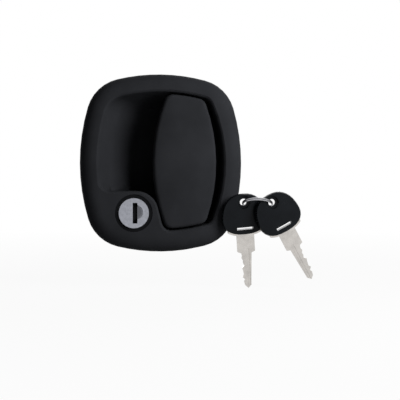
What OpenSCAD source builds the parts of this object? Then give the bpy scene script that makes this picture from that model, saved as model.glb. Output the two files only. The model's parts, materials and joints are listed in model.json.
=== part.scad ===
// Keyed exterior handle for a vehicle or equipment door, in millimetres.
// X runs to the right and Z up along the door, and Y runs into the door.
// The origin is the middle of the bezel, on the plane of the door skin.

/* [Bezel] */
// Width of the bezel over its arched sides
bezel_w = 112; // [104:0.5:124]
// Height of the bezel over its arched ends
bezel_h = 122.5; // [114:0.5:134]
// Radius of the arch of each side
bezel_side_r = 135; // [120:1:180]
// Radius of the arch of the top and of the bottom
bezel_end_r = 125; // [112:1:170]
// Radius of the corners
bezel_corner_r = 28; // [25:0.5:32]
// How far the bezel stands off the door
bezel_t = 11.2; // [10:0.1:14]
// Height of the straight edge at the door
edge_t = 2.5; // [1.5:0.1:3.5]
// Width over which the rim rolls up to its face
roll_w = 10.4; // [9:0.1:10.6]

/* [Bowl] */
// Width of the rim between the outer edge and the opening
rim_w = 12.6; // [12.4:0.1:14]
// Radius of the rounded lip of the opening
lip_r = 2.2; // [1.2:0.1:2.6]
// Further width of the rim along the bottom
sill_w = 2.1; // [1:0.1:3]
// Gap between the paddle's right edge and the wall of its groove, at mid height
groove_w = 5.1; // [4.6:0.1:5.8]
// Radius of the arch of the groove's wall
groove_r = 100; // [96:1:112]
// Radius of the groove's corners
groove_corner_r = 7; // [6:0.5:8]
// Depth of the paddle pocket behind the door skin
pocket_depth = 8; // [7:0.5:12]
// Depth of the finger bowl behind the door skin
bowl_depth = 20; // [17:0.5:24]
// Left edge of the bowl's floor
floor_left = -14; // [-18:0.5:-8]
// Right wall of the finger bowl
bowl_right = 6; // [2:0.5:6.5]
// Top of the bowl's floor
floor_top = 41.5; // [36:0.5:44]
// Top edge of the land that carries the lock
land_top = -19.2; // [-20:0.1:-18]
// Radius of the bowl's corner beside the land
bowl_corner_r = 8; // [5:0.5:10]
// Wall of the casting
wall_t = 3; // [2.4:0.1:3.6]

/* [Paddle] */
// Left edge of the paddle at mid height
paddle_left = -6.5; // [-7:0.1:-5]
// Right edge of the paddle at mid height
paddle_right = 37.3; // [35:0.1:38]
// Radius of the barrel curve of each side
paddle_side_r = 118; // [116:1:124]
// Radius of the corners
paddle_corner_r = 6; // [4:0.5:9]
// Gap between the paddle's ends and the opening
paddle_gap = 1.4; // [1:0.1:2.5]
// Front of the paddle's edge, off the door skin
paddle_front = 11.6; // [10.5:0.1:13]
// Thickness at the edge
paddle_t = 6.1; // [5:0.1:7]
// Rise of the crowned face
paddle_crown = 1.2; // [0.4:0.1:2]
// Rounding of the front edge
paddle_edge_r = 2.4; // [1:0.1:2.8]
// Place of the pivot across the handle
pivot_x = 23; // [21:0.5:24]
// Height of the pivot off the door skin
pivot_out = 3.5; // [3.4:0.1:4.5]
// Diameter of the pivot pin
pin_d = 4.4; // [4:0.1:4.6]
// Diameter of the pivot knuckles
knuckle_d = 10.4; // [9.5:0.1:11]
// Width of the tail that works the release lever
tail_w = 6; // [5:0.1:6.4]
// Angle of the tail at rest, from straight back
tail_angle = 30; // [28:0.5:32]

/* [Lock] */
// Place of the lock across the handle
lock_x = -19.7; // [-20.2:0.1:-19]
// Height of the lock
lock_z = -34.2; // [-35:0.1:-34]
// Diameter of the plug's face
plug_face_d = 20.6; // [20:0.1:21.4]
// Diameter of the plug's body
plug_d = 18; // [17:0.1:18.6]
// Diameter of the barrel's front flange
barrel_flange_d = 25.6; // [25.4:0.1:26.4]
// Diameter of the barrel's body
barrel_d = 24; // [23.2:0.1:24.2]
// Outside diameter of the lock tube of the casting
lock_tube_d = 30; // [29.6:0.1:30.6]
// Length of the lock tube behind the door skin
lock_tube_l = 12; // [10:0.5:14]
// Width of the keyway
keyway_w = 3.2; // [2.8:0.1:3.4]
// Height of the keyway
keyway_h = 14; // [12.5:0.1:14.2]
// Number of wafer tumblers
wafer_count = 5; // [4:1:5]
// Length of the lock cam from the lock's axis to its rod hole
cam_l = 17; // [15:0.5:18]

/* [Release lever] */
// Thickness of the lever
lever_t = 2.5; // [2:0.1:3]
// Width of the lever's upper arm
lever_arm_w = 7; // [6:0.1:7.4]
// Height of the lever's pivot
lever_z = -27; // [-28:0.5:-26]
// Length of the upper arm over its pivot
lever_up_l = 33; // [31:0.5:34]
// Length from the pivot down to the rod hole
lever_down_l = 17; // [15:0.5:18]
// Diameter of the lever's pivot pin
lever_pin_d = 6; // [5:0.1:7]
// Diameter of the rod holes
rod_hole_d = 5.2; // [4:0.1:6]

/* [Mounting] */
// Diameter of the mounting studs
stud_d = 6; // [5:0.5:6]
// Distance between the studs
stud_spacing = 62; // [58:0.5:64]
// Place of the studs across the handle
stud_x = 1; // [0:0.5:1.5]
// Length of the cast bosses behind the bowl's floor
stud_boss_l = 5; // [4:0.5:7]
// Length of each stud beyond its boss
stud_free_l = 13; // [12:0.5:16]
// Thickness of the door skin that is clamped
door_t = 2.5; // [2.2:0.1:3.5]
// Width of the clamp bracket
strap_w = 15; // [13.5:0.5:16]
// Thickness of the clamp bracket
strap_t = 2; // [1.5:0.1:2.5]
// Thickness of the gasket
gasket_t = 0.9; // [0.6:0.1:1]

/* [Keys] */
// Width of a key's head
head_w = 30.5; // [28:0.5:31]
// Height of a key's head
head_h = 28.5; // [27:0.5:29]
// Thickness of a key's head
head_t = 6; // [5:0.1:6.4]
// Thickness of a key's blade
blade_t = 2.2; // [1.8:0.1:2.4]
// Width of a key's shoulder
shoulder_w = 12.3; // [11:0.1:13]
// Length of a key's shoulder below its head
shoulder_l = 13; // [11:0.5:14]
// Width of a key's shaft
shaft_w = 7.2; // [6.6:0.1:7.6]
// Length of a key's shaft with its tip
shaft_l = 25; // [22:0.5:26]
// Diameter of the split ring, at its wire
ring_d = 20.6; // [20.2:0.1:20.8]

/* [Fits] */
// Radial clearance of running fits
run_gap = 0.05; // [0.02:0.01:0.1]
// Clearance of seated pieces
seat_gap = 0.02; // [0.01:0.01:0.05]
// Gap that keeps moving pieces clear of each other
clear_gap = 0.3; // [0.25:0.05:0.4]

/* [Hidden] */
$fn = 48;

coat = [0.10, 0.10, 0.11];
nickel = [0.72, 0.72, 0.70];
zinc = [0.66, 0.67, 0.68];
rubber = [0.06, 0.06, 0.06];
spring_steel = [0.55, 0.56, 0.58];
nylon = [0.85, 0.85, 0.80];

eps = 0.01;
side_steps = 8;
corner_steps = 6;

// Arched outlines: four circles [x, z, radius] in the order right, top, left, bottom

function left_of(u) = [-u[1], u[0]];
function near_angle(a, base) = base + ((a - base + 900) % 360) - 180;
function angle_of(v) = atan2(v[1], v[0]);
function polar(c, r, a) = [c[0] + r * cos(a), c[1] + r * sin(a)];

// Middle of the corner arc of radius r between two circles
function corner_middle(p, q, r) =
    let (a = [p[0], p[1]], b = [q[0], q[1]], gap = norm(b - a), u = (b - a) / gap)
    let (ra = p[2] - r, rb = q[2] - r, t = (ra * ra - rb * rb + gap * gap) / (2 * gap))
    a + t * u + sqrt(ra * ra - t * t) * left_of(u);

// Points of the outline moved out by d, with the corner radii r from the upper right onwards
function arched(circles, r, d) =
    let (mid = [for (i = [0 : 3]) corner_middle(circles[i], circles[(i + 1) % 4], r[i])])
    [for (i = [0 : 3]) let (
        c = [circles[i][0], circles[i][1]],
        before = near_angle(angle_of(mid[(i + 3) % 4] - c), 90 * i),
        after = near_angle(angle_of(mid[i] - c), 90 * i),
        next = [circles[(i + 1) % 4][0], circles[(i + 1) % 4][1]],
        ends = near_angle(angle_of(mid[i] - next), 90 * i + 45))
        each concat(
            [for (k = [0 : side_steps - 1])
                polar(c, circles[i][2] + d, before + (after - before) * k / side_steps)],
            [for (k = [0 : corner_steps - 1])
                polar(mid[i], r[i] + d, after + (ends - after) * k / corner_steps)])];

// Circles through the right, top, left and bottom ends of an outline
function arch_set(right, top, left, bottom, side_r, end_r) = [
    [right - side_r[0], 0, side_r[0]], [0, top - end_r, end_r],
    [left + side_r[1], 0, side_r[1]], [0, bottom + end_r, end_r]];

function bezel_outline(d) = arched(
    arch_set(bezel_w / 2, bezel_h / 2, -bezel_w / 2, -bezel_h / 2,
        [bezel_side_r, bezel_side_r], bezel_end_r),
    [for (i = [0 : 3]) bezel_corner_r], d);
function opening_outline(d) = arched(
    arch_set(open_right, open_top, open_left, open_bottom,
        [groove_r, bowl_side_r], bezel_end_r - rim_w),
    [groove_corner_r, bezel_corner_r - rim_w, bezel_corner_r - rim_w, groove_corner_r], d);

// Rounded polygons: corners [x, z, radius], anticlockwise, moved out by d

function unit(v) = v / norm(v);
function meet(p, u, q, v) = p + u * ((q - p) * [v[1], -v[0]]) / (u * [v[1], -v[0]]);
function rounded(corners, d, steps) =
    let (n = len(corners), at = [for (c = corners) [c[0], c[1]]],
        along = [for (i = [0 : n - 1]) unit(at[(i + 1) % n] - at[i])])
    [for (i = [0 : n - 1]) let (
        u = along[(i + n - 1) % n], v = along[i],
        tip = meet(at[i] - left_of(u) * d, u, at[i] - left_of(v) * d, v),
        turn = atan2(u[0] * v[1] - u[1] * v[0], u * v),
        r = max(corners[i][2] + sign(turn) * d, 0.05),
        start = tip - u * r * tan(abs(turn) / 2),
        middle = start + sign(turn) * r * left_of(u), a = angle_of(start - middle))
        each [for (k = [0 : steps]) polar(middle, r, a + turn * k / steps)]];

// Solids through rings of points, from the front ring to the back ring

function ring_at(outline, y) = [for (p = outline) [p[0], y, p[1]]];
module loft(rings) {
    n = len(rings[0]);
    last = len(rings) - 1;
    polyhedron(
        points = [for (ring = rings) each ring],
        faces = concat(
            [[for (i = [n - 1 : -1 : 0]) i]],
            [for (k = [0 : last - 1], i = [0 : n - 1]) each [
                [k * n + i, k * n + (i + 1) % n, (k + 1) * n + (i + 1) % n],
                [k * n + i, (k + 1) * n + (i + 1) % n, (k + 1) * n + i]]],
            [[for (i = [0 : n - 1]) last * n + i]]));
}

// A round wire along a path, with its sections set square to the path
module wire(path, r, sides, up) {
    n = len(path);
    rings = [for (i = [0 : n - 1]) let (
        t = unit(path[min(i + 1, n - 1)] - path[max(i - 1, 0)]),
        a = unit(cross(up, t)), b = cross(t, a))
        [for (k = [0 : sides - 1])
            path[i] + r * (cos(360 * k / sides) * a + sin(360 * k / sides) * b)]];
    polyhedron(
        points = [for (ring = rings) each ring],
        faces = concat(
            [[for (k = [0 : sides - 1]) k]],
            [for (i = [0 : n - 2], k = [0 : sides - 1]) each [
                [i * sides + (k + 1) % sides, i * sides + k, (i + 1) * sides + k],
                [i * sides + (k + 1) % sides, (i + 1) * sides + k, (i + 1) * sides + (k + 1) % sides]]],
            [[for (k = [sides - 1 : -1 : 0]) (n - 1) * sides + k]]));
}

// A rod along Y, a rod along Z and a plate in the plane of the door
module rod_y(x, z, y0, y1, d) {
    translate([x, y0, z]) rotate([-90, 0, 0]) cylinder(h = y1 - y0, d = d);
}
module rod_z(x, y, z0, z1, d) {
    translate([x, y, z0]) cylinder(h = z1 - z0, d = d);
}
module plate_y(y0, y1) {
    translate([0, y1, 0]) rotate([90, 0, 0]) linear_extrude(height = y1 - y0) children();
}
module box(x0, x1, y0, y1, z0, z1) {
    translate([x0, y0, z0]) cube([x1 - x0, y1 - y0, z1 - z0]);
}
// Lofted forms joined into one skin, at their own size
module skin() {
    resize([0, 0, 0]) children();
}

// Housing

open_left = rim_w - bezel_w / 2;
open_right = paddle_right + groove_w;
open_top = bezel_h / 2 - rim_w;
open_bottom = sill_w - open_top;
floor_bottom = land_top + 3;
floor_right = 35;
pocket_left = paddle_left + 11.2;
bowl_back = bowl_depth + wall_t;
pocket_back = pocket_depth + wall_t;
pivot_y = -pivot_out;
lip_y = lip_r - bezel_t;
lip_turns = [15 : 25 : 90];
lip_start = lip_r * (1 - sin(15));

// The rim rolls up from the straight edge in a quarter of an ellipse
module bezel_form() {
    steps = 7;
    rolled = [for (i = [0 : steps]) let (a = 90 * i / steps)
        ring_at(bezel_outline(-roll_w * (1 - cos(a))), -edge_t - (bezel_t - edge_t) * sin(a))];
    loft(concat([for (i = [steps : -1 : 0]) rolled[i]], [ring_at(bezel_outline(0), 0)]));
}

function lip_rings() = concat(
    [ring_at(opening_outline(lip_start), -bezel_t - 1)],
    [for (a = lip_turns)
        ring_at(opening_outline(lip_r * (1 - sin(a))), -bezel_t + lip_r * (1 - cos(a)))]);

// Outline of the bowl at a share f of the way from the opening to its floor
function bowl_outline(f, d) =
    let (floor_w = floor_right - floor_left + 2 * d, floor_h = floor_top - floor_bottom + 2 * d)
    let (open_w = open_right - open_left + 2 * d, open_h = open_top - open_bottom + 2 * d)
    [for (p = opening_outline(d)) let (
        x = floor_left - d + (p[0] - open_left + d) / open_w * floor_w,
        z = floor_bottom - d + (p[1] - open_bottom + d) / open_h * floor_h)
        [p[0] + (x - p[0]) * f, p[1] + (z - p[1]) * f]];
function bowl_share(t) = 0.55 * t + 0.45 * (1 - cos(90 * t));
function bowl_rings(d, y0, y1, steps) = [for (i = [1 : steps]) let (t = i / steps)
    ring_at(bowl_outline(bowl_share(t), d), y0 + (y1 - y0) * (0.35 * sin(90 * t) + 0.65 * t))];

land_slope = [2.5, -10];
land_corner_x = paddle_left + 0.6;
land_edge_at = function (z) land_corner_x + (z - land_top) * land_slope[0] / land_slope[1];
land_foot = open_bottom + 0.4;
bowl_side_r = bezel_side_r - rim_w;
bowl_side_at = function (z) open_left - 0.4 + bowl_side_r - sqrt(bowl_side_r * bowl_side_r - z * z);
bowl_corner_z = land_top + bowl_corner_r + 3;
function land_outline(d) = rounded([
    [-bezel_w, -bezel_h, 1], [30, -bezel_h, 1], [30, land_foot - 2.8, 1],
    [land_edge_at(land_foot), land_foot, paddle_corner_r + paddle_gap],
    [land_corner_x, land_top, lock_tube_d / 2], [bowl_side_at(land_top), land_top, bowl_corner_r],
    [bowl_side_at(bowl_corner_z), bowl_corner_z, 1], [-bezel_w, bowl_corner_z, 1]], d, 8);

// The land fills the lower left of the opening and carries the lock
module land_form(d, y0, y1) {
    loft(concat(
        [ring_at(land_outline(d - lip_start), y0 - 1)],
        [for (a = lip_turns) ring_at(land_outline(d - lip_r * (1 - sin(a))), y0 + lip_r * (1 - cos(a)))],
        [ring_at(land_outline(d), y1)]));
}

module pocket_cut() {
    difference() {
        union() {
            intersection() {
                loft(concat(lip_rings(), bowl_rings(0, lip_y, bowl_depth, 6)));
                box(-bezel_w, bowl_right, -2 * bezel_t, bowl_back, -bezel_h, bezel_h);
            }
            intersection() {
                loft(concat(lip_rings(), [
                    ring_at(opening_outline(-0.4), pocket_depth - 2),
                    ring_at(opening_outline(-1), pocket_depth - 0.6),
                    ring_at(opening_outline(-2.4), pocket_depth)]));
                box(pocket_left, bezel_w, -2 * bezel_t, bowl_back, -bezel_h, bezel_h);
            }
        }
        land_form(0, -bezel_t, bowl_back + 1);
    }
}

module bowl_shell() {
    difference() {
        union() {
            intersection() {
                loft(concat([ring_at(opening_outline(wall_t), -edge_t)],
                    bowl_rings(wall_t, -edge_t, bowl_back, 5)));
                box(-bezel_w, bowl_right + wall_t, -bezel_t, bowl_back + 1, -bezel_h, bezel_h);
            }
            intersection() {
                loft([ring_at(opening_outline(wall_t), -edge_t),
                    ring_at(opening_outline(wall_t - 0.4), pocket_back)]);
                box(pocket_left - wall_t, bezel_w, -bezel_t, bowl_back, -bezel_h, bezel_h);
            }
        }
        loft([for (y = [lip_y + wall_t, bowl_back + 2]) ring_at(land_outline(-wall_t), y)]);
    }
}

stud_top_y = bowl_back + stud_boss_l;
stud_z = [stud_spacing / 2, -stud_spacing / 2];
stud_boss_d = 2 * stud_d;
stud_boss_y = [bowl_depth + 1, pocket_back + 2];
stud_hole_y = stud_top_y - 6.5;
bumper_x = 11;
bumper_z = [38, -38];
bumper_post_d = 7;
bumper_d = 6;
bumper_t = 2;
bumper_stem_d = 2.4;
bumper_stem_l = 3;
paddle_back = paddle_t - paddle_front;
bumper_y = paddle_back + clear_gap;
lever_y = pocket_back + 2.5;
lever_boss_d = 2 * lever_pin_d;
lever_x = pivot_x + 5.6;
lever_pin_hole = pocket_depth + 1.4;
lever_wire_d = 1.2;
lever_coil_r = lever_pin_d / 2 + lever_wire_d / 2 + 0.4;
spring_post_d = 3;
spring_rest = spring_post_d / 2 + lever_wire_d / 2 + 0.1;
spring_post_x = lever_x - 13;
spring_post_z = lever_z + lever_coil_r - spring_rest;
spring_post_l = 7;
gasket_w = 5;
gasket_inset = 2.2;
tail_slot = [pivot_x - 6.5, pivot_x + 13.5];
tail_z = tail_w / 2 + clear_gap + 0.4;
pin_top = open_top + 5;
pin_bottom = -bezel_h / 2 + 3.2;
lock_y = -bezel_t - 0.2;
barrel_y = lock_y + 0.6;
barrel_seat_y = barrel_y + 3;

module at_studs() {
    for (z = stud_z) translate([stud_x, 0, z]) children();
}
module at_bumpers() {
    for (z = bumper_z) translate([bumper_x, 0, z]) children();
}

module housing() {
    color(coat) difference() {
        union() {
            skin() difference() {
                union() {
                    bezel_form();
                    bowl_shell();
                }
                pocket_cut();
                gasket_form(seat_gap, 1);
            }
            rod_y(lock_x, lock_z, -edge_t, lock_tube_l, lock_tube_d);
            for (i = [0, 1]) rod_y(stud_x, stud_z[i], stud_boss_y[i], stud_top_y, stud_boss_d);
            at_bumpers() rod_y(0, 0, bumper_y + bumper_t, pocket_depth + 1, bumper_post_d);
            rod_y(lever_x, lever_z, pocket_back - 1, lever_y - clear_gap, lever_boss_d);
            rod_y(spring_post_x, spring_post_z, pocket_back - 1, lever_y + lever_t + spring_post_l,
                spring_post_d);
        }
        rod_y(lock_x, lock_z, -2 * bezel_t, lock_tube_l + 1, barrel_d + 2 * seat_gap);
        rod_y(lock_x, lock_z, -2 * bezel_t, barrel_seat_y, barrel_flange_d + 2 * seat_gap);
        rod_z(pivot_x, pivot_y, -bezel_h, pin_top, pin_d + 2 * seat_gap);
        at_studs() rod_y(0, 0, stud_hole_y, stud_top_y + 1, stud_d + 2 * seat_gap);
        at_bumpers() rod_y(0, 0, bumper_y + bumper_t - 1, bumper_y + bumper_t + bumper_stem_l + 0.5,
            bumper_stem_d + 2 * seat_gap);
        rod_y(lever_x, lever_z, lever_pin_hole, lever_y + 1, lever_pin_d + 2 * seat_gap);
        box(tail_slot[0], tail_slot[1], pocket_depth - 1, pocket_back + 1, -tail_z, tail_z);
    }
}

module gasket_form(gap, over) {
    outer = bezel_outline(gap - gasket_inset);
    inner = bezel_outline(-gap - gasket_inset - gasket_w);
    difference() {
        loft([ring_at(outer, -gasket_t), ring_at(outer, over)]);
        loft([ring_at(inner, -gasket_t - 1), ring_at(inner, over + 1)]);
    }
}
module gasket() {
    color(rubber) gasket_form(0, 0);
}

module paddle_bumpers() {
    color(rubber) at_bumpers() {
        rod_y(0, 0, bumper_y, bumper_y + bumper_t, bumper_d);
        rod_y(0, 0, bumper_y + bumper_t - eps, bumper_y + bumper_t + bumper_stem_l, bumper_stem_d);
    }
}

// Paddle

paddle_circles = arch_set(paddle_right, open_top - paddle_gap, paddle_left, open_bottom + paddle_gap,
    [paddle_side_r, paddle_side_r], bezel_end_r - rim_w - paddle_gap);
paddle_mid = (paddle_left + paddle_right) / 2;
function paddle_outline(d) = arched(paddle_circles, [for (i = [0 : 3]) paddle_corner_r], d);
function shrunk(outline, s) = [for (p = outline) [paddle_mid + (p[0] - paddle_mid) * s, p[1] * s]];

knuckle_inset = 4.6;
knuckle_ends = [open_bottom + knuckle_inset, open_top - knuckle_inset];
knuckle_l = 14;
tail_l = 19.5;
knuckles = [[knuckle_ends[0], knuckle_ends[0] + knuckle_l], [-tail_w / 2, tail_w / 2],
    [knuckle_ends[1] - knuckle_l, knuckle_ends[1]]];

wire_d = 1.4;
coil_r = pin_d / 2 + wire_d / 2 + 0.4;
coil_start = tail_w / 2 + 2;
coil_pitch = wire_d + 0.5;
coil_steps = 12;
spring_leg_l = 6.5;
spring_bay = [tail_w / 2 + clear_gap, coil_start + 7.5 * coil_pitch];

module paddle() {
    crown = [[0.25, 1], [0.6, 0.75], [0.88, 0.25]];
    inner = paddle_outline(-paddle_edge_r);
    color(coat) difference() {
        union() {
            loft(concat(
                [for (c = crown) ring_at(shrunk(inner, c[0]), -paddle_front - paddle_crown * c[1])],
                [for (a = [90 : -30 : 0])
                    ring_at(paddle_outline(-paddle_edge_r * (1 - cos(a))),
                        -paddle_front + paddle_edge_r * (1 - sin(a)))],
                [for (k = [[0, 1.4], [0.4, 0.4], [1.4, 0]])
                    ring_at(paddle_outline(-k[0]), paddle_back - k[1])]));
            for (k = knuckles) rod_z(pivot_x, pivot_y, k[0], k[1], knuckle_d);
            tail();
        }
        rod_z(pivot_x, pivot_y, -bezel_h, bezel_h, pin_d + 2 * run_gap);
        rod_z(pivot_x, pivot_y, spring_bay[0], spring_bay[1], knuckle_d);
    }
}
module tail() {
    translate([pivot_x, pivot_y, -tail_w / 2]) rotate([0, 0, -tail_angle]) {
        translate([-tail_w / 2, 0, 0]) cube([tail_w, tail_l, tail_w]);
        translate([0, tail_l, 0]) cylinder(h = tail_w, d = tail_w);
    }
}
module paddle_pin() {
    color(zinc) rod_z(pivot_x, pivot_y, pin_bottom, pin_top - 0.5, pin_d);
}

module paddle_spring() {
    steps = 77;
    coil = [for (i = [0 : steps]) let (a = 180 + 360 * i / coil_steps)
        [pivot_x + coil_r * cos(a), pivot_y + coil_r * sin(a), coil_start + coil_pitch * i / coil_steps]];
    floor_leg = [coil[0][0], pocket_depth - wire_d / 2 - clear_gap, coil[0][2]];
    paddle_y = paddle_back + wire_d / 2 + clear_gap;
    bend = [coil[steps][0] + wire_d, paddle_y, coil[steps][2]];
    color(spring_steel) wire(concat([floor_leg], coil, [bend, bend + [spring_leg_l, 0, 0]]),
        wire_d / 2, 6, [0, 0, 1]);
}

// Lock

barrel_l = lock_tube_l + 8;
plug_y = lock_y - 0.5;
plug_face_t = 3;
plug_chamfer = 0.2;
plug_rim_w = 0.3;
plug_dish_w = 1;
plug_dish_t = 0.4;
plug_back = barrel_l + 0.4;
keyway_x = lock_x + 0.8;
scoop_x = lock_x + 1.4;
scoop_d = 10.6;
scoop_t = 1.5;
shank_w = 8;
cam_t = 2;
cam_arm_w = 10;
cam_screw_d = 4;
cam_y = plug_back + 0.3;
clip_groove_y = lock_tube_l + 0.6;
clip_t = 1.2;
clip_rise = 2.6;
clip_groove_d = barrel_d - 2.4;
clip_turn = 33;
wafer_t = 1;
wafer_gap = 0.1;
wafer_w = 6;
wafer_h = 14.6;
wafer_pitch = 3;
wafer_y = function (i) 0.5 + i * wafer_pitch;
chamber_y = plug_y + 2.6;
chamber_l = 7.4;
shutter_t = 0.8;
shutter_pin_x = keyway_x + keyway_w / 2 + 1.1;
shutter_y = chamber_y + 0.75;
spring_x = lock_x - wafer_w / 2 - 1.6;

module lock_barrel() {
    color(coat) difference() {
        union() {
            rod_y(lock_x, lock_z, barrel_y, barrel_l, barrel_d);
            rod_y(lock_x, lock_z, barrel_y, barrel_seat_y - seat_gap, barrel_flange_d);
        }
        rod_y(lock_x, lock_z, lock_y - 1, barrel_l + 1, plug_d + 2 * run_gap);
        rod_y(lock_x, lock_z, lock_y - 1, plug_y + plug_face_t + 0.1, plug_face_d + 2 * run_gap);
        difference() {
            rod_y(lock_x, lock_z, clip_groove_y, clip_groove_y + clip_t + 2 * seat_gap, barrel_d + 1);
            rod_y(lock_x, lock_z, clip_groove_y - 1, clip_groove_y + clip_t + 1, clip_groove_d);
        }
    }
}
// The horseshoe slides on from the lower left, where the casting leaves room
module barrel_clip() {
    open_w = clip_groove_d + 2;
    color(spring_steel) difference() {
        rod_y(lock_x, lock_z, clip_groove_y + seat_gap, clip_groove_y + seat_gap + clip_t,
            barrel_d + clip_rise);
        rod_y(lock_x, lock_z, clip_groove_y - 1, clip_groove_y + clip_t + 1, clip_groove_d + 2 * seat_gap);
        translate([lock_x, 0, lock_z]) rotate([0, clip_turn, 0])
            box(-open_w / 2, open_w / 2, clip_groove_y - 1, clip_groove_y + clip_t + 1, 0, barrel_d);
    }
}

module lock_plug() {
    color(nickel) difference() {
        union() {
            rod_y(lock_x, lock_z, plug_y, plug_y + plug_face_t, plug_face_d);
            rod_y(lock_x, lock_z, plug_y + plug_face_t - eps, plug_back, plug_d);
            box(lock_x - shank_w / 2, lock_x + shank_w / 2, plug_back - eps, cam_y + cam_t - 0.1,
                lock_z - shank_w / 2, lock_z + shank_w / 2);
        }
        // dished face inside a thin chamfered rim
        translate([lock_x, plug_y - eps, lock_z]) rotate([-90, 0, 0])
            cylinder(h = plug_dish_t + eps, d1 = plug_face_d - 2 * plug_rim_w,
                d2 = plug_face_d - 2 * (plug_rim_w + plug_dish_w));
        translate([lock_x, plug_y, lock_z]) rotate([-90, 0, 0]) rotate_extrude()
            translate([plug_face_d / 2, 0])
                polygon([[-plug_chamfer, -eps], [1, -eps], [1, plug_chamfer], [0, plug_chamfer]]);
        // keyway through the face and along the wafers
        box(keyway_x - keyway_w / 2, keyway_x + keyway_w / 2, plug_y - 1, wafer_y(wafer_count),
            lock_z - keyway_h / 2, lock_z + keyway_h / 2);
        // half-round scoop of the face beside the keyway
        intersection() {
            translate([scoop_x, plug_y + plug_dish_t - eps, lock_z + 0.6]) rotate([-90, 0, 0])
                cylinder(h = scoop_t, d1 = scoop_d, d2 = scoop_d - 2 * scoop_t);
            box(scoop_x, scoop_x + scoop_d, plug_y - 1, plug_y + plug_dish_t + scoop_t,
                lock_z - scoop_d, lock_z + scoop_d);
        }
        // chamber of the dust shutter
        box(keyway_x - keyway_w / 2 - 0.8, shutter_pin_x + 1.2, chamber_y, chamber_y + chamber_l,
            lock_z - keyway_h / 2 - 0.4, lock_z + keyway_h / 2 + 0.4);
        for (i = [0 : wafer_count - 1]) {
            y0 = wafer_y(i) - wafer_gap;
            y1 = wafer_y(i) + wafer_t + wafer_gap;
            box(lock_x - wafer_w / 2 - wafer_gap, lock_x + wafer_w / 2 + wafer_gap, y0, y1,
                lock_z - plug_d, lock_z + plug_d);
            rod_z(spring_x, wafer_y(i) + wafer_t / 2, lock_z - 4, lock_z + 5, 2.2);
            box(spring_x - 0.6, lock_x, y0, y1, lock_z - 4, lock_z + 5);
        }
        rod_y(lock_x, lock_z, plug_back - 6, cam_y + 10, cam_screw_d + 2 * seat_gap);
    }
}
module dust_shutter() {
    color(nickel) {
        rod_z(shutter_pin_x, shutter_y, lock_z - keyway_h / 2 - 0.2, lock_z + keyway_h / 2 + 0.2, 1.2);
        box(keyway_x - keyway_w / 2 - 0.5, shutter_pin_x,
            shutter_y - shutter_t / 2, shutter_y + shutter_t / 2,
            lock_z - keyway_h / 2 - 0.1, lock_z + keyway_h / 2 + 0.1);
    }
}
module lock_wafers() {
    color("goldenrod") for (i = [0 : wafer_count - 1]) difference() {
        union() {
            box(lock_x - wafer_w / 2, lock_x + wafer_w / 2, wafer_y(i), wafer_y(i) + wafer_t,
                lock_z - wafer_h / 2, lock_z + wafer_h / 2);
            box(spring_x - 0.5, lock_x, wafer_y(i), wafer_y(i) + wafer_t, lock_z + 3, lock_z + 4.6);
        }
        box(keyway_x - keyway_w / 2, keyway_x + keyway_w / 2 + 0.2,
            wafer_y(i) - 1, wafer_y(i) + wafer_t + 1,
            lock_z - 4 - (i % 3) * 0.5, lock_z + 4 - (i % 2) * 0.6);
    }
}
module wafer_springs() {
    turns = 4;
    steps = 7;
    span = 6.2;
    color(spring_steel) for (i = [0 : wafer_count - 1])
        wire([for (k = [0 : turns * steps])
            [spring_x + 0.7 * cos(360 * k / steps), wafer_y(i) + wafer_t / 2 + 0.7 * sin(360 * k / steps),
                lock_z - 3.7 + span * k / (turns * steps)]], 0.22, 4, [0, 0, 1]);
}
module lock_cam() {
    color(zinc) difference() {
        plate_y(cam_y, cam_y + cam_t) {
            translate([lock_x, lock_z]) {
                circle(d = 2 * shank_w);
                translate([-cam_arm_w / 2, -cam_l]) square([cam_arm_w, cam_l]);
                translate([0, -cam_l]) circle(d = cam_arm_w);
            }
        }
        box(lock_x - shank_w / 2 - seat_gap, lock_x + shank_w / 2 + seat_gap, cam_y - 1, cam_y + cam_t + 1,
            lock_z - shank_w / 2 - seat_gap, lock_z + shank_w / 2 + seat_gap);
        rod_y(lock_x, lock_z - cam_l, cam_y - 1, cam_y + cam_t + 1, rod_hole_d);
    }
}
washer_t = cam_t / 2;
module cam_washer() {
    color(zinc) difference() {
        rod_y(lock_x, lock_z, cam_y + cam_t, cam_y + cam_t + washer_t, shank_w + 5);
        rod_y(lock_x, lock_z, cam_y, cam_y + cam_t + 2 * washer_t, 1.1 * cam_screw_d);
    }
}
module cam_screw() {
    head_y = cam_y + cam_t + washer_t;
    screw_head_t = 0.7 * cam_screw_d;
    color(zinc) difference() {
        union() {
            rod_y(lock_x, lock_z, plug_back - 5, head_y + eps, cam_screw_d);
            rod_y(lock_x, lock_z, head_y, head_y + screw_head_t, 2 * cam_screw_d);
        }
        for (a = [0, 90]) translate([lock_x, head_y + screw_head_t, lock_z]) rotate([0, a, 0])
            cube([5, 3, 1], center = true);
    }
}

// Release lever

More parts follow.
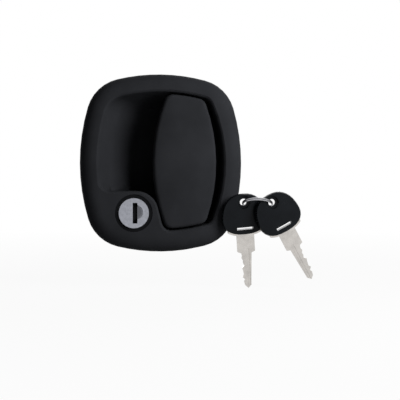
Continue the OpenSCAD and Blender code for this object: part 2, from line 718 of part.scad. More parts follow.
lever_back = lever_y + lever_t;
rod_offset = 3;
rod_at = [lever_x + rod_offset, lever_z - lever_down_l];
rod_eye_d = 10;
module lever_outline() {
    translate([lever_x, lever_z]) {
        circle(d = lever_boss_d + 3);
        translate([-lever_arm_w, 0]) square([lever_arm_w, lever_up_l - lever_arm_w / 2]);
        translate([-lever_arm_w / 2, lever_up_l - lever_arm_w / 2]) circle(d = lever_arm_w);
        rotate(atan2(rod_offset, lever_down_l))
            translate([-rod_eye_d / 2, -norm([rod_offset, lever_down_l])])
                square([rod_eye_d, lever_down_l]);
    }
    translate(rod_at) circle(d = rod_eye_d);
}
module release_lever() {
    color(zinc) difference() {
        union() {
            plate_y(lever_y, lever_back) lever_outline();
            rod_y(lever_x + lever_coil_r - spring_rest, lever_z - pip_drop,
                lever_back - eps, lever_back + 2.6, spring_post_d);
        }
        rod_y(lever_x, lever_z, 0, 2 * lever_back, lever_pin_d + 2 * run_gap);
        rod_y(rod_at[0], rod_at[1], 0, 2 * lever_back, rod_hole_d);
    }
}
pip_drop = 10;
lever_pin_end = lever_back + 9.5;
lever_clip_y = lever_pin_end - 2;
clip_w = 0.8;
lever_groove_d = lever_pin_d - 1.4;
module lever_pin() {
    color(zinc) difference() {
        rod_y(lever_x, lever_z, lever_pin_hole + 0.1, lever_pin_end, lever_pin_d);
        difference() {
            rod_y(lever_x, lever_z, lever_clip_y, lever_clip_y + clip_w + 2 * seat_gap, lever_pin_d + 1);
            rod_y(lever_x, lever_z, lever_clip_y - 1, lever_clip_y + clip_w + 1, lever_groove_d);
        }
    }
}
module lever_clip() {
    color(spring_steel) difference() {
        rod_y(lever_x, lever_z, lever_clip_y + seat_gap, lever_clip_y + seat_gap + clip_w, lever_pin_d + 6);
        rod_y(lever_x, lever_z, lever_clip_y - 1, lever_clip_y + clip_w + 1, lever_groove_d + 2 * seat_gap);
        box(lever_x - lever_groove_d / 2 + 0.3, lever_x + lever_groove_d / 2 - 0.3, lever_clip_y - 1,
            lever_clip_y + clip_w + 1, lever_z - lever_pin_d - 4, lever_z);
    }
}
module lever_spring() {
    y0 = lever_back + lever_wire_d / 2 + 0.3;
    pitch = (lever_wire_d + 0.2) / coil_steps;
    turns = 39;
    coil = [for (i = [0 : turns]) let (a = 360 * i / coil_steps)
        [lever_x + lever_coil_r * cos(a), y0 + pitch * i, lever_z + lever_coil_r * sin(a)]];
    lower_leg = coil[0] - [0, 0, pip_drop + 2];
    upper_leg = [spring_post_x - spring_post_d / 2 - 1, coil[turns][1], coil[turns][2]];
    color(spring_steel) wire(concat([lower_leg], coil, [upper_leg]), lever_wire_d / 2, 6, [0, 1, 0]);
}

// Clip that snaps into a rod hole: a collar, a neck and a saddle for the rod
module rod_clip(x, z, y0, t) {
    neck = rod_hole_d - 2 * seat_gap;
    color(nylon) difference() {
        union() {
            rod_y(x, z, y0 - 1.6, y0 - seat_gap, rod_hole_d + 3);
            rod_y(x, z, y0 - 1, y0 + t + 1, neck);
            rod_y(x, z, y0 + t + seat_gap, y0 + t + 2, rod_hole_d + 2.4);
        }
        rod_y(x, z, y0 - 3, y0 + t + 4, rod_hole_d - 2);
    }
}
module release_rod_clip() {
    rod_clip(rod_at[0], rod_at[1], lever_y, lever_t);
}
module lock_rod_clip() {
    rod_clip(lock_x, lock_z - cam_l, cam_y, cam_t);
}

// Mounting

leg_z = bezel_h / 2 - rim_w + wall_t + 2;
foot_l = 6.8;
bend_r = 1;
// Edge of the bent strap from its upper foot down to its lower one: corners [y, z, radius]
function strap_edge(offset, inner_r, outer_r) = [
    [door_t + offset, leg_z + foot_l, 0.2], [door_t + offset, leg_z + offset, outer_r],
    [stud_top_y + offset, leg_z + offset, inner_r], [stud_top_y + offset, -leg_z - offset, inner_r],
    [door_t + offset, -leg_z - offset, outer_r], [door_t + offset, -leg_z - foot_l, 0.2]];
module clamp_bracket() {
    back = strap_edge(strap_t, bend_r + strap_t, bend_r);
    profile = concat(strap_edge(0, bend_r, bend_r + strap_t), [for (i = [len(back) - 1 : -1 : 0]) back[i]]);
    color(zinc) difference() {
        translate([stud_x - strap_w / 2, 0, 0]) rotate([90, 0, 90]) linear_extrude(height = strap_w)
            polygon(rounded(profile, 0, 6));
        at_studs() rod_y(0, 0, 0, stud_top_y + 2 * strap_t, stud_d + 0.6);
    }
}
module mounting_studs() {
    color(zinc) at_studs() rod_y(0, 0, stud_hole_y + 0.2, stud_top_y + stud_free_l, stud_d);
}
stud_washer_t = 1.4;
nut_w = stud_d * 5 / 3;
nut_h = 0.8 * stud_d;
nut_corner_r = nut_w / 2 / cos(30);
nut_face_r = 0.47 * nut_w;
nut_chamfer = (nut_corner_r - nut_face_r) * tan(30);
module stud_washers() {
    y = stud_top_y + strap_t;
    color(zinc) at_studs() difference() {
        rod_y(0, 0, y, y + stud_washer_t, 2 * stud_d);
        rod_y(0, 0, y - 1, y + 2 * stud_washer_t, stud_d + 0.4);
    }
}
module stud_nuts() {
    y = stud_top_y + strap_t + stud_washer_t;
    color(zinc) at_studs() difference() {
        translate([0, y, 0]) rotate([-90, 0, 0]) intersection() {
            cylinder(h = nut_h, r = nut_corner_r, $fn = 6);
            rotate_extrude() polygon([[0, 0], [nut_face_r, 0], [nut_corner_r + eps, nut_chamfer],
                [nut_corner_r + eps, nut_h - nut_chamfer], [nut_face_r, nut_h], [0, nut_h]]);
        }
        rod_y(0, 0, y - 1, y + stud_d, stud_d + 2 * seat_gap);
    }
}

// Keys

key_at = [[55.7, -35], [77.7, -34.3]];
key_lift = [15, 21];
key_turn = [-5, -28.6];
key_tilt = [7, 3];
// Place in the frame of a point of key i, given along its own axes
function on_key(i, p) =
    let (t = key_tilt[i], a = key_turn[i])
    let (y = p[1] * cos(t) - p[2] * sin(t), z = p[1] * sin(t) + p[2] * cos(t))
    [key_at[i][0] + p[0] * cos(a) + z * sin(a), y - key_lift[i],
        key_at[i][1] - p[0] * sin(a) + z * cos(a)];
ring_hole_z = 8.4;
ring_hole_d = 4.8;
ring_rise = 20;
ring_wire = 1;
tang_top = -head_h / 2 + 3;
web_t = 1.8;
web_d = 9;
slit_w = 11.4;
slit_h = 1.7;
head_sides = 32;
head_taper = 0.13;
bow_share = 1.07;
bow_w = 24;
module place_key(i) {
    translate([key_at[i][0], -key_lift[i], key_at[i][1]]) rotate([key_tilt[i], key_turn[i], 0]) children();
}
// Egg-shaped outline of a head, wider at its lower end
function head_outline(share) = [for (i = [0 : head_sides - 1]) let (
    a = 360 * i / head_sides, k = 0.82,
    across = sign(cos(a)) * pow(abs(cos(a)), k), up = sign(sin(a)) * pow(abs(sin(a)), k))
    share / 2 * [head_w * across * (1 - head_taper * up), head_h * up]];
// Metal bow inside the head, which shows below it
module bow() {
    intersection() {
        polygon(head_outline(bow_share));
        translate([-bow_w / 2, -head_h]) square([bow_w, head_h + tang_top]);
    }
}
module blade(flip) {
    neck = -head_h / 2 - shoulder_l;
    tip = neck - shaft_l;
    notch = 1.7;
    cuts = 6;
    step = (shaft_l - 5) / cuts;
    side = [for (i = [0 : cuts - 1]) each [
        [-shaft_w / 2 + (i % 3 + 1) * notch / 3, neck - 1 - (i + 0.35) * step],
        [-shaft_w / 2 + (i % 2) * notch / 2, neck - 1 - (i + 0.8) * step]]];
    mirror([flip, 0, 0]) difference() {
        plate_y(-blade_t / 2, blade_t / 2) {
            bow();
            polygon(concat(
                [[-shoulder_w / 2, tang_top], [-shoulder_w / 2, neck + 1], [-shaft_w / 2, neck]], side,
                [[-shaft_w / 2 + 1.5, tip + 2], [0, tip], [shaft_w / 2 - 1.5, tip + 2], [shaft_w / 2, neck],
                    [shoulder_w / 2, neck + 1], [shoulder_w / 2, tang_top]]));
        }
        for (y = [-blade_t / 2 - 1, blade_t / 2 - 0.5])
            box(0.2, 1.8, y, y + 1.5, tip - 1, neck + 3);
    }
}
module head() {
    half = head_t / 2;
    rim = [[1, 0.28], [0.97, 0.62], [0.9, 0.72], [0.86, 0.62], [0.6, 0.9], [0.3, 1]];
    scaled = function (share, y) ring_at(head_outline(share), y);
    difference() {
        loft(concat([for (i = [len(rim) - 1 : -1 : 0]) scaled(rim[i][0], -half * rim[i][1])],
            [for (k = rim) scaled(k[0], half * k[1])]));
        rod_y(0, ring_hole_z, -head_t, head_t, ring_hole_d);
        rod_y(0, ring_hole_z, -head_t, -web_t / 2, web_d);
        rod_y(0, ring_hole_z, web_t / 2, head_t, web_d);
        box(-slit_w / 2, slit_w / 2, -head_t, head_t, tang_top + 0.6, tang_top + 0.6 + slit_h);
        box(-bow_w / 2 - seat_gap, bow_w / 2 + seat_gap, -blade_t / 2 - seat_gap,
            blade_t / 2 + seat_gap, -head_h, tang_top + seat_gap);
    }
}
module key_blade_1() {
    color(nickel) place_key(0) blade(0);
}
module key_head_1() {
    color(rubber) place_key(0) head();
}
module key_blade_2() {
    color(nickel) place_key(1) blade(1);
}
module key_head_2() {
    color(rubber) place_key(1) head();
}
// The ring runs through both heads, with its front half raised
module split_ring() {
    ends = [for (i = [0, 1]) on_key(i, [0, 0, ring_hole_z])];
    across = unit(ends[1] - ends[0]);
    toward = [0, cos(ring_rise), -sin(ring_rise)];
    back = unit(toward - (toward * across) * across);
    half = norm(ends[1] - ends[0]) / 2;
    middle = (ends[0] + ends[1]) / 2 + sqrt(ring_d * ring_d / 4 - half * half) * back;
    flat = cross(across, back);
    steps = 28;
    path = [for (i = [0 : 2 * steps]) let (a = 360 * i / steps + 100)
        middle + ring_d / 2 * (cos(a) * across + sin(a) * back)
            + flat * ring_wire * 1.06 * (i / steps - 1)];
    color(spring_steel) wire(path, ring_wire / 2, 8, flat);
}

housing();
gasket();
paddle();
paddle_pin();
paddle_spring();
paddle_bumpers();
lock_barrel();
lock_plug();
dust_shutter();
lock_wafers();
wafer_springs();
barrel_clip();
lock_cam();
cam_washer();
cam_screw();
release_lever();
lever_pin();
lever_clip();
lever_spring();
release_rod_clip();
lock_rod_clip();
clamp_bracket();
mounting_studs();
stud_washers();
stud_nuts();
key_blade_1();
key_head_1();
key_blade_2();
key_head_2();
split_ring();
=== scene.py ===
"""Finish the keyed exterior handle and set it on a plain studio stage."""

import json
import math

import bmesh
import bpy
from mathutils import Matrix, Vector


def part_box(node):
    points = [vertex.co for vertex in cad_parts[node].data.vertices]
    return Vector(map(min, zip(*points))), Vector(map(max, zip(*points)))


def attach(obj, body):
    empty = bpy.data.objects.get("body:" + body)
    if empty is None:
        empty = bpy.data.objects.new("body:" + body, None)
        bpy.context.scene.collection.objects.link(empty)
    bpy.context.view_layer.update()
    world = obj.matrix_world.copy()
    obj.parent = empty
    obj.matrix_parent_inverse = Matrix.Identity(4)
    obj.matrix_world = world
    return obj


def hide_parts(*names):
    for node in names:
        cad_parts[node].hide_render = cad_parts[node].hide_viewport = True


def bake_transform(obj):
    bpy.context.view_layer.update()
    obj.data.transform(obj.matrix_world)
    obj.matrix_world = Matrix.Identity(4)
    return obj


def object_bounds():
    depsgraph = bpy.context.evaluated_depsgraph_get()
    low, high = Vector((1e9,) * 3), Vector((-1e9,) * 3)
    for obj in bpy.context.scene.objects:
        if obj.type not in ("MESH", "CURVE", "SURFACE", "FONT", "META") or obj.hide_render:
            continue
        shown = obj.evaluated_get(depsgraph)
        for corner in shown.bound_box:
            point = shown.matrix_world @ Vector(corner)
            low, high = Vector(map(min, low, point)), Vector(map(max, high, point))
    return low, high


bl_info = {
    "name": "Keyed Exterior Handle",
    "version": (1, 0, 0),
    "blender": (4, 5, 0),
    "location": "View3D > Sidebar > Handle",
    "description": "Finishes a flush paddle handle with its lock and keys, and lights it for a picture",
    "category": "Object",
}

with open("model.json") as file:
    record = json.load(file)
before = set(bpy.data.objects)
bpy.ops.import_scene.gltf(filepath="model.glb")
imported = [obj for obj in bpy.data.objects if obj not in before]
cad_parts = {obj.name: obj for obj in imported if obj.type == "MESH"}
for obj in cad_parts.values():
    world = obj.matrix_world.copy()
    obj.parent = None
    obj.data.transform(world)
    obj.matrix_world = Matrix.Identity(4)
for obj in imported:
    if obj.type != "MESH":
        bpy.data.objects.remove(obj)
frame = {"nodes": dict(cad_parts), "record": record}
cad_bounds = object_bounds()
MM = 0.001


class HandleFinish(bpy.types.PropertyGroup):
    """Colours and surface sizes of the handle's finishes."""

    coat: bpy.props.FloatVectorProperty(
        name="Powder coat", description="Colour of the coated casting and paddle",
        subtype="COLOR", default=(0.0235, 0.0245, 0.0275))
    coat_grain: bpy.props.FloatProperty(
        name="Coat grain", description="Size of the coat's orange peel",
        subtype="DISTANCE", unit="LENGTH", default=0.9 * MM)
    nickel: bpy.props.FloatVectorProperty(
        name="Nickel", description="Colour of the plated lock plug",
        subtype="COLOR", default=(0.33, 0.34, 0.38))
    blade: bpy.props.FloatVectorProperty(
        name="Key blade", description="Colour of the nickel silver key blades",
        subtype="COLOR", default=(0.595, 0.57, 0.54))
    head: bpy.props.FloatVectorProperty(
        name="Key head", description="Colour of the moulded key heads",
        subtype="COLOR", default=(0.006, 0.007, 0.0085))
    zinc: bpy.props.FloatVectorProperty(
        name="Zinc", description="Colour of the zinc plated steel behind the door",
        subtype="COLOR", default=(0.56, 0.57, 0.58))
    wire: bpy.props.FloatVectorProperty(
        name="Spring wire", description="Colour of the spring steel",
        subtype="COLOR", default=(0.42, 0.42, 0.44))
    brass: bpy.props.FloatVectorProperty(
        name="Brass", description="Colour of the stamped wafers",
        subtype="COLOR", default=(0.62, 0.44, 0.16))
    rubber: bpy.props.FloatVectorProperty(
        name="Rubber", description="Colour of the gasket and bumpers",
        subtype="COLOR", default=(0.018, 0.018, 0.018))
    nylon: bpy.props.FloatVectorProperty(
        name="Nylon", description="Colour of the rod clips",
        subtype="COLOR", default=(0.66, 0.64, 0.56))
    thread_pitch: bpy.props.FloatProperty(
        name="Thread pitch", description="Pitch of the studs' thread",
        subtype="DISTANCE", unit="LENGTH", default=1.0 * MM)
    edge_round: bpy.props.FloatProperty(
        name="Edge rounding", description="Rounding of the pressed and turned pieces' edges",
        subtype="DISTANCE", unit="LENGTH", default=0.18 * MM)


class HandleStage(bpy.types.PropertyGroup):
    """Camera and light of the picture."""

    aim: bpy.props.FloatVectorProperty(
        name="Camera aim", description="Point at the middle of the picture",
        subtype="TRANSLATION", unit="LENGTH", default=(26.5 * MM, -6.0 * MM, -25.5 * MM))
    distance: bpy.props.FloatProperty(
        name="Camera distance", description="Distance of the camera from the door",
        subtype="DISTANCE", unit="LENGTH", default=0.62)
    swing: bpy.props.FloatProperty(
        name="Camera swing", description="How far the camera stands to the left of the door's normal",
        subtype="ANGLE", unit="ROTATION", default=math.radians(8.0))
    rise: bpy.props.FloatProperty(
        name="Camera rise", description="How far the camera looks down",
        subtype="ANGLE", unit="ROTATION", default=math.radians(1.5))
    picture_width: bpy.props.FloatProperty(
        name="Picture width", description="Width of the picture at the door",
        subtype="DISTANCE", unit="LENGTH", default=0.2774)
    key_light: bpy.props.FloatProperty(
        name="Key light", description="Power of the lamp on the upper right",
        subtype="POWER", unit="POWER", default=1.9)
    back_light: bpy.props.FloatProperty(
        name="Back light", description="Power of the wide lamp behind the door",
        subtype="POWER", unit="POWER", default=7.0)
    sky: bpy.props.FloatProperty(
        name="Room light", description="Strength of the even light of the room", default=0.07, min=0.0)


# Materials

ALONG_X = (9.0, 1.0, 1.0)
ALONG_Z = (1.0, 1.0, 9.0)
PEEL_DEPTH = 0.012 * MM
SPARKLE_DEPTH = 0.002 * MM
TOOLING_SIZE = 0.35 * MM
TOOLING_DEPTH = 0.006 * MM
# Share of the colour left at the bottom of the lock's recesses: painted shade.
PAINTED_SHADE_SHARE = 0.3


def shaded(name):
    """New material with its node tree and shader."""
    material = bpy.data.materials.new(name)
    material.use_nodes = True
    tree = material.node_tree
    return material, tree, tree.nodes["Principled BSDF"]


def node(tree, kind, **values):
    """New node with values set on its inputs, or on itself where it has no such input."""
    made = tree.nodes.new(kind)
    for key, value in values.items():
        label = key.replace("_", " ").title()
        if label in made.inputs:
            made.inputs[label].default_value = value
        else:
            setattr(made, key, value)
    return made


def place(tree, stretch=(1.0, 1.0, 1.0), turn=(0.0, 0.0, 0.0)):
    """Object coordinates, turned and stretched."""
    coords = tree.nodes.new("ShaderNodeTexCoord")
    mapping = tree.nodes.new("ShaderNodeMapping")
    mapping.vector_type = "TEXTURE"
    mapping.inputs["Rotation"].default_value = turn
    mapping.inputs["Scale"].default_value = stretch
    tree.links.new(coords.outputs["Object"], mapping.inputs["Vector"])
    return mapping.outputs["Vector"]


def noise(tree, vector, size, detail=2.0, roughness=0.5):
    """Noise with features of the given size in metres."""
    made = node(tree, "ShaderNodeTexNoise", scale=1.0 / size, detail=detail, roughness=roughness)
    tree.links.new(vector, made.inputs["Vector"])
    return made.outputs["Fac"]


def spread(tree, factor, low, high, start=0.3, end=0.7):
    """Factor mapped from start..end to low..high."""
    made = node(tree, "ShaderNodeMapRange", from_min=start, from_max=end, to_min=low, to_max=high)
    tree.links.new(factor, made.inputs["Value"])
    return made.outputs["Result"]


def tint(tree, factor, dark, light, start=0.3, end=0.7):
    """Colour between two tones by a factor."""
    ramp = tree.nodes.new("ShaderNodeValToRGB")
    ramp.color_ramp.elements[0].position = start
    ramp.color_ramp.elements[0].color = (*dark, 1.0)
    ramp.color_ramp.elements[1].position = end
    ramp.color_ramp.elements[1].color = (*light, 1.0)
    tree.links.new(factor, ramp.inputs["Fac"])
    return ramp.outputs["Color"]


def bump(tree, shader, height, depth, strength=1.0, below=None):
    """Relief of the given depth in metres under the shader."""
    made = node(tree, "ShaderNodeBump", strength=strength, distance=depth)
    tree.links.new(height, made.inputs["Height"])
    if below:
        tree.links.new(below, made.inputs["Normal"])
    tree.links.new(made.outputs["Normal"], shader.inputs["Normal"])
    return made.outputs["Normal"]


def toned(colour, share):
    """Colour made lighter or darker by a share."""
    return tuple(min(1.0, c * share) for c in colour)


def powder_coat(name, colour, grain, shine):
    """Satin coat: soft orange peel, fine sparkle and faint handling marks."""
    material, tree, shader = shaded(name)
    at = place(tree)
    cloud = noise(tree, at, 22 * MM, 3.0)
    tree.links.new(tint(tree, cloud, toned(colour, 0.88), toned(colour, 1.12)), shader.inputs["Base Color"])
    marks = noise(tree, place(tree, (1.0, 1.0, 6.0), (0.0, 0.5, 0.0)), 3 * MM, 4.0, 0.7)
    tree.links.new(spread(tree, marks, 0.40, 0.50), shader.inputs["Roughness"])
    peel = bump(tree, shader, noise(tree, at, grain, 1.0), PEEL_DEPTH)
    bump(tree, shader, noise(tree, at, grain / 5, 1.0), SPARKLE_DEPTH, below=peel)
    shader.inputs["Specular IOR Level"].default_value = shine
    return material


def painted_depth_shade(tree, colour, start, end):
    """Colour darkened with depth into the door, from start to end: painted shade in a recess."""
    axes = tree.nodes.new("ShaderNodeSeparateXYZ")
    tree.links.new(place(tree), axes.inputs["Vector"])
    made = node(tree, "ShaderNodeVectorMath", operation="SCALE")
    tree.links.new(colour, made.inputs[0])
    # Painted shade: the colour falls to a share of itself between the two depths.
    tree.links.new(spread(tree, axes.outputs["Y"], 1.0, PAINTED_SHADE_SHARE, start, end), made.inputs["Scale"])
    return made.outputs["Vector"]


def satin_metal(name, colour, dull, brush, patch=6 * MM, painted_shade_span=None):
    """Plated metal with fine tooling lines and cloudy plating; where two depths are given, painted shade
    darkens the colour in a recess between them.
    """
    material, tree, shader = shaded(name)
    cloud = noise(tree, place(tree), patch, 4.0, 0.6)
    plating_and_shade = tint(tree, cloud, toned(colour, 0.84), toned(colour, 1.1))
    # Painted shade: the cloudy plating colour is darkened with depth into the recess.
    if painted_shade_span:
        plating_and_shade = painted_depth_shade(tree, plating_and_shade, *painted_shade_span)
    tree.links.new(plating_and_shade, shader.inputs["Base Color"])
    lines = noise(tree, place(tree, brush), TOOLING_SIZE, 3.0, 0.6)
    tree.links.new(spread(tree, lines, dull - 0.08, dull + 0.1), shader.inputs["Roughness"])
    bump(tree, shader, lines, TOOLING_DEPTH, 0.7)
    shader.inputs["Metallic"].default_value = 1.0
    return material


def moulded(name, colour, dull, grain, depth, shine=0.3):
    """Moulded plastic or rubber with a spark-eroded grain."""
    material, tree, shader = shaded(name)
    at = place(tree)
    cloud = noise(tree, at, 9 * MM, 3.0)
    tree.links.new(tint(tree, cloud, toned(colour, 0.85), toned(colour, 1.2)), shader.inputs["Base Color"])
    scuffs = noise(tree, place(tree, (1.0, 1.0, 8.0), (0.3, 0.6, 0.0)), 2.5 * MM, 5.0, 0.75)
    tree.links.new(spread(tree, scuffs, dull, dull + 0.12), shader.inputs["Roughness"])
    bump(tree, shader, noise(tree, at, grain, 2.0), depth)
    shader.inputs["Specular IOR Level"].default_value = shine
    return material


finishes = {}


def make_finishes(look):
    """Materials of the handle, by the record's material slots."""
    coat = tuple(look.coat)
    finishes["black_coat"] = powder_coat("powder_coat", coat, look.coat_grain, 0.004)
    finishes["black_steel"] = powder_coat("black_oxide", toned(coat, 0.35), 0.5 * look.coat_grain, 0.008)
    plug_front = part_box("lock_plug")[0].y
    # Depths behind the plug's face over which its colour is darkened: painted shade in the scoop and
    # keyway.
    painted_shade_depths = (plug_front + 0.55 * MM, plug_front + 2 * MM)
    finishes["nickel"] = satin_metal("satin_nickel", tuple(look.nickel), 0.32, ALONG_X, 2 * MM, painted_shade_depths)
    finishes["key_nickel"] = satin_metal("milled_nickel_silver", tuple(look.blade), 0.26, ALONG_Z)
    finishes["zinc_steel"] = satin_metal("zinc_plate", tuple(look.zinc), 0.36, (1.0, 1.0, 4.0))
    finishes["spring_steel"] = satin_metal("drawn_wire", tuple(look.wire), 0.26, ALONG_Z)
    finishes["brass"] = satin_metal("stamped_brass", tuple(look.brass), 0.32, ALONG_Z)
    finishes["rubber"] = moulded("gasket_rubber", tuple(look.rubber), 0.72, 0.6 * MM, 0.02 * MM)
    finishes["nylon"] = moulded("natural_nylon", tuple(look.nylon), 0.42, 0.5 * MM, 0.006 * MM)
    finishes["key_plastic"] = moulded("key_plastic", tuple(look.head), 0.2, 0.4 * MM, 0.002 * MM, 0.08)


# Pieces

JOIN_GAP = 0.002 * MM
FLAT_ANGLE = math.radians(0.4)
ROUNDED_ANGLE = math.radians(50)
CASTING_SHARP = 34.0
SPRING_SHARP = 65.0
SPRING_LEG = 1.4 * MM

slot_of = {part["node"]: part["material_slot"] for part in frame["record"]["subparts"]}
body_of = {name: body for body, names in frame["record"]["behaviour"]["bodies"].items() for name in names}


def add_piece(name, bm, part, sharp, twist=None):
    """Object from a bmesh that stands for a part, and rides on its body, or keeps its place where a twist
    is given.
    """
    mesh = bpy.data.meshes.new(name)
    bm.to_mesh(mesh)
    bm.free()
    mesh.shade_smooth()
    mesh.set_sharp_from_angle(angle=math.radians(sharp))
    mesh.materials.append(finishes[slot_of[part]])
    piece = bpy.data.objects.new(name, mesh)
    bpy.context.scene.collection.objects.link(piece)
    if twist:
        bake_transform(piece)
    else:
        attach(piece, body_of[part])
    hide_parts(part)
    return piece


def part_mesh(part):
    """Copy of a part's solid with its triangles joined and its flat faces whole."""
    bm = bmesh.new()
    bm.from_mesh(frame["nodes"][part].data)
    for layer in list(bm.loops.layers.float_vector):
        bm.loops.layers.float_vector.remove(layer)
    bmesh.ops.remove_doubles(bm, verts=bm.verts, dist=JOIN_GAP)
    bmesh.ops.dissolve_limit(
        bm, angle_limit=FLAT_ANGLE, use_dissolve_boundaries=False, verts=bm.verts, edges=bm.edges)
    for face in bm.faces:
        face.material_index = 0
    return bm


def finished(part, sharp=38.0, edge=0.0, twist=None):
    """Smooth shaded part, with small rounded edges where an edge size is given."""
    piece = add_piece(part + "_skin", part_mesh(part), part, sharp, twist)
    if edge:
        rounding = piece.modifiers.new("rounded_edges", "BEVEL")
        rounding.width = edge
        rounding.segments = 2
        rounding.limit_method = "ANGLE"
        rounding.angle_limit = ROUNDED_ANGLE
        rounding.harden_normals = True
        rounding.use_clamp_overlap = True
    weighted = piece.modifiers.new("flat_faces", "WEIGHTED_NORMAL")
    weighted.keep_sharp = True


def torsion_spring(part, axis, low_body, high_body):
    """Coil spring along an axis between two bodies; the piece keeps its place and follows neither body."""
    low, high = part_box(part)
    start = (low + high) / 2
    end = start.copy()
    start[axis] = low[axis] + SPRING_LEG
    end[axis] = high[axis] - SPRING_LEG
    finished(part, SPRING_SHARP, twist=(low_body, high_body, start, end))


def threaded_rod(bm, start, end, radius, pitch):
    """Screw thread along Y between two points: a core with a helical ridge."""
    core = radius - 0.55 * pitch
    length = end.y - start.y
    turn = Matrix.Rotation(math.radians(-90), 4, "X")
    middle = Matrix.Translation((start + end) / 2)
    bmesh.ops.create_cone(bm, cap_ends=True, segments=40, radius1=core, radius2=core, depth=length,
                          matrix=middle @ turn)
    turn_steps = 24
    turns = int((length - pitch) / pitch)
    flank = [(core * 0.97, -0.46), (radius, -0.08), (radius, 0.08), (core * 0.97, 0.46)]
    ring = [bm.verts.new(start + Vector((r, (y + 0.5) * pitch, 0))) for r, y in flank]
    face = bm.faces.new(ring)
    bmesh.ops.spin(bm, geom=[face, *face.edges, *face.verts], cent=start, axis=(0, 1, 0),
                   dvec=(0, pitch / turn_steps, 0), angle=turns * math.tau, steps=turns * turn_steps,
                   use_merge=False)
    bmesh.ops.recalc_face_normals(bm, faces=bm.faces)


class HANDLE_OT_finishes(bpy.types.Operator):
    """Make the handle's materials"""

    bl_idname = "handle.finishes"
    bl_label = "Make Finishes"

    def execute(self, context):
        make_finishes(context.scene.handle_finish)
        return {"FINISHED"}


class HANDLE_OT_casting(bpy.types.Operator):
    """Finish the cast housing with its bezel and bowl, and its gasket"""

    bl_idname = "handle.casting"
    bl_label = "Finish Casting"

    def execute(self, context):
        finished("housing", CASTING_SHARP)
        finished("gasket")
        return {"FINISHED"}


class HANDLE_OT_paddle(bpy.types.Operator):
    """Finish the paddle, its pin, spring and bumpers"""

    bl_idname = "handle.paddle"
    bl_label = "Finish Paddle"

    def execute(self, context):
        edge = context.scene.handle_finish.edge_round
        finished("paddle", CASTING_SHARP)
        finished("paddle_pin", edge=edge)
        torsion_spring("paddle_spring", 2, "base", "paddle")
        finished("paddle_bumpers", edge=edge)
        return {"FINISHED"}


class HANDLE_OT_lock(bpy.types.Operator):
    """Finish the lock: plug, barrel, shutter, wafers, cam and clips"""

    bl_idname = "handle.lock"
    bl_label = "Finish Lock"

    def execute(self, context):
        edge = context.scene.handle_finish.edge_round
        for part in ("lock_plug", "lock_barrel", "barrel_clip", "lock_cam", "cam_washer", "cam_screw",
                     "lock_rod_clip"):
            finished(part, edge=edge)
        for part in ("dust_shutter", "lock_wafers"):
            finished(part, edge=0.4 * edge)
        finished("wafer_springs", 100.0)
        return {"FINISHED"}


class HANDLE_OT_release(bpy.types.Operator):
    """Finish the release lever, its pivot, clip, spring and rod clip"""

    bl_idname = "handle.release"
    bl_label = "Finish Release Lever"

    def execute(self, context):
        edge = context.scene.handle_finish.edge_round
        for part in ("release_lever", "lever_pin", "lever_clip", "release_rod_clip"):
            finished(part, edge=edge)
        torsion_spring("lever_spring", 1, "release_lever", "base")
        return {"FINISHED"}


class HANDLE_OT_mounting(bpy.types.Operator):
    """Finish the clamp bracket, and cut threads on the studs"""

    bl_idname = "handle.mounting"
    bl_label = "Finish Mounting"

    def execute(self, context):
        look = context.scene.handle_finish
        finished("clamp_bracket")
        for part in ("stud_washers", "stud_nuts"):
            finished(part, edge=1.5 * look.edge_round)
        low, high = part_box("mounting_studs")
        radius = (high.x - low.x) / 2
        bm = bmesh.new()
        for z in (low.z + radius, high.z - radius):
            start = Vector((low.x + radius, low.y, z))
            end = Vector((low.x + radius, high.y, z))
            threaded_rod(bm, start, end, radius, look.thread_pitch)
        add_piece("threaded_studs", bm, "mounting_studs", 50.0)
        return {"FINISHED"}


class HANDLE_OT_keys(bpy.types.Operator):
    """Finish the two keys and their split ring"""

    bl_idname = "handle.keys"
    bl_label = "Finish Keys"

    def execute(self, context):
        edge = context.scene.handle_finish.edge_round
        for number in (1, 2):
            finished(f"key_blade_{number}", edge=0.8 * edge)
            finished(f"key_head_{number}", 40.0)
        finished("split_ring", 70.0)
        return {"FINISHED"}


# Stage

WHITE = (1.0, 1.0, 1.0, 1.0)
FLOOR_GREY = (0.4, 0.4, 0.4, 1.0)
FLOOR_GAP = 0.5 * MM
KEY_LAMP_WIDTH = 0.22
KEY_LAMP_PLACE = (0.265, -0.265, 0.13)
BACK_LAMP_WIDTH = 1.2
BACK_LAMP_PLACE = (0.05, 0.9, 0.6)


def lamp(name, power, width, at):
    """Square area lamp aimed at the middle of the bezel."""
    light = bpy.data.lights.new(name, "AREA")
    light.energy = power
    light.shape = "SQUARE"
    light.size = width
    made = bpy.data.objects.new(name, light)
    made.location = at
    made.rotation_euler = (-Vector(at)).to_track_quat("-Z", "Y").to_euler()
    bpy.context.scene.collection.objects.link(made)
    return made


def seen_white(tree, lit, white):
    """Mix of a lit shader and a white one: the camera, gloss and glass see mostly white."""
    path = tree.nodes.new("ShaderNodeLightPath")
    either = node(tree, "ShaderNodeMath", operation="MAXIMUM")
    tree.links.new(path.outputs["Is Camera Ray"], either.inputs[0])
    tree.links.new(path.outputs["Is Glossy Ray"], either.inputs[1])
    any_ray = node(tree, "ShaderNodeMath", operation="MAXIMUM")
    tree.links.new(either.outputs["Value"], any_ray.inputs[0])
    tree.links.new(path.outputs["Is Transmission Ray"], any_ray.inputs[1])
    mix = tree.nodes.new("ShaderNodeMixShader")
    tree.links.new(any_ray.outputs["Value"], mix.inputs["Fac"])
    tree.links.new(lit, mix.inputs[1])
    tree.links.new(white, mix.inputs[2])
    return mix.outputs["Shader"]


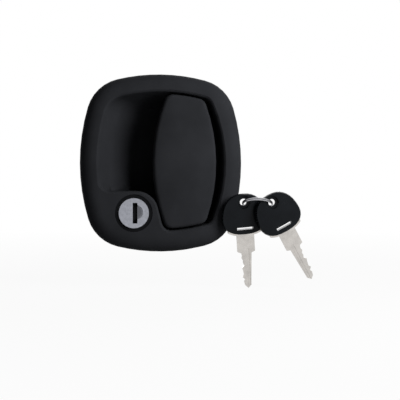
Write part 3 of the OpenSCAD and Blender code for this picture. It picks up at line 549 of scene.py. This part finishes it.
def white_room(scene, strength):
    """World that lights evenly and shows white."""
    world = bpy.data.worlds.new("studio")
    scene.world = world
    world.use_nodes = True
    tree = world.node_tree
    tree.nodes.clear()
    room = node(tree, "ShaderNodeBackground", color=WHITE, strength=strength)
    white = node(tree, "ShaderNodeBackground", color=WHITE, strength=1.0)
    output = tree.nodes.new("ShaderNodeOutputWorld")
    shown = seen_white(tree, room.outputs["Background"], white.outputs["Background"])
    tree.links.new(shown, output.inputs["Surface"])


def pale_floor(height):
    """Floor that keeps the object's shadow and fades to white further off."""
    bm = bmesh.new()
    bmesh.ops.create_grid(bm, x_segments=1, y_segments=1, size=3.0,
                          matrix=Matrix.Translation((0, 0, height)))
    mesh = bpy.data.meshes.new("floor")
    bm.to_mesh(mesh)
    bm.free()
    floor = bpy.data.objects.new("floor", mesh)
    bpy.context.scene.collection.objects.link(floor)
    material = bpy.data.materials.new("pale_floor")
    material.use_nodes = True
    tree = material.node_tree
    tree.nodes.clear()
    lit = node(tree, "ShaderNodeBsdfDiffuse", color=FLOOR_GREY)
    glow = node(tree, "ShaderNodeEmission", color=WHITE, strength=1.0)
    fade = node(tree, "ShaderNodeMixShader")
    far = node(tree, "ShaderNodeVectorMath", operation="LENGTH")
    coords = tree.nodes.new("ShaderNodeTexCoord")
    tree.links.new(coords.outputs["Object"], far.inputs[0])
    tree.links.new(spread(tree, far.outputs["Value"], 0.94, 1.0, 0.15, 0.7), fade.inputs["Fac"])
    tree.links.new(lit.outputs["BSDF"], fade.inputs[1])
    tree.links.new(glow.outputs["Emission"], fade.inputs[2])
    output = tree.nodes.new("ShaderNodeOutputMaterial")
    shown = seen_white(tree, lit.outputs["BSDF"], fade.outputs["Shader"])
    tree.links.new(shown, output.inputs["Surface"])
    mesh.materials.append(material)


class HANDLE_OT_stage(bpy.types.Operator):
    """Set the floor, the lamps and the camera"""

    bl_idname = "handle.stage"
    bl_label = "Set Stage"

    def execute(self, context):
        scene = context.scene
        stage = scene.handle_stage
        scene.view_settings.view_transform = "Standard"
        white_room(scene, stage.sky)
        pale_floor(cad_bounds[0][2] - FLOOR_GAP)
        key_lamp = lamp("key_lamp", stage.key_light, KEY_LAMP_WIDTH, KEY_LAMP_PLACE)
        # The plated steel would mirror this lamp as clipped white.
        key_lamp.visible_glossy = False
        lamp("back_lamp", stage.back_light, BACK_LAMP_WIDTH, BACK_LAMP_PLACE)
        camera = bpy.data.cameras.new("camera")
        camera.sensor_width = 36.0
        camera.lens = camera.sensor_width * stage.distance / stage.picture_width
        eye = bpy.data.objects.new("camera", camera)
        away = Vector((-math.sin(stage.swing) * math.cos(stage.rise),
                       -math.cos(stage.swing) * math.cos(stage.rise), math.sin(stage.rise)))
        eye.location = Vector(stage.aim) + away * stage.distance
        eye.rotation_euler = (-away).to_track_quat("-Z", "Y").to_euler()
        scene.collection.objects.link(eye)
        scene.camera = eye
        return {"FINISHED"}


class HANDLE_PT_panel(bpy.types.Panel):
    """Finishes and stage of the handle"""

    bl_label = "Keyed Exterior Handle"
    bl_idname = "HANDLE_PT_panel"
    bl_space_type = "VIEW_3D"
    bl_region_type = "UI"
    bl_category = "Handle"

    def draw(self, context):
        layout = self.layout
        for group in (context.scene.handle_finish, context.scene.handle_stage):
            column = layout.column()
            for name in group.__annotations__:
                column.prop(group, name)
        for step in steps:
            layout.operator(step.bl_idname)


steps = (HANDLE_OT_finishes, HANDLE_OT_casting, HANDLE_OT_paddle, HANDLE_OT_lock, HANDLE_OT_release,
         HANDLE_OT_mounting, HANDLE_OT_keys, HANDLE_OT_stage)
classes = (HandleFinish, HandleStage, *steps, HANDLE_PT_panel)


def register():
    for cls in classes:
        bpy.utils.register_class(cls)
    bpy.types.Scene.handle_finish = bpy.props.PointerProperty(type=HandleFinish)
    bpy.types.Scene.handle_stage = bpy.props.PointerProperty(type=HandleStage)


def unregister():
    del bpy.types.Scene.handle_stage
    del bpy.types.Scene.handle_finish
    for cls in reversed(classes):
        bpy.utils.unregister_class(cls)


def main():
    """Register the add-on and build every piece in order."""
    register()
    for step in steps:
        group, name = step.bl_idname.split(".")
        getattr(getattr(bpy.ops, group), name)()


if __name__ == "__main__":
    main()
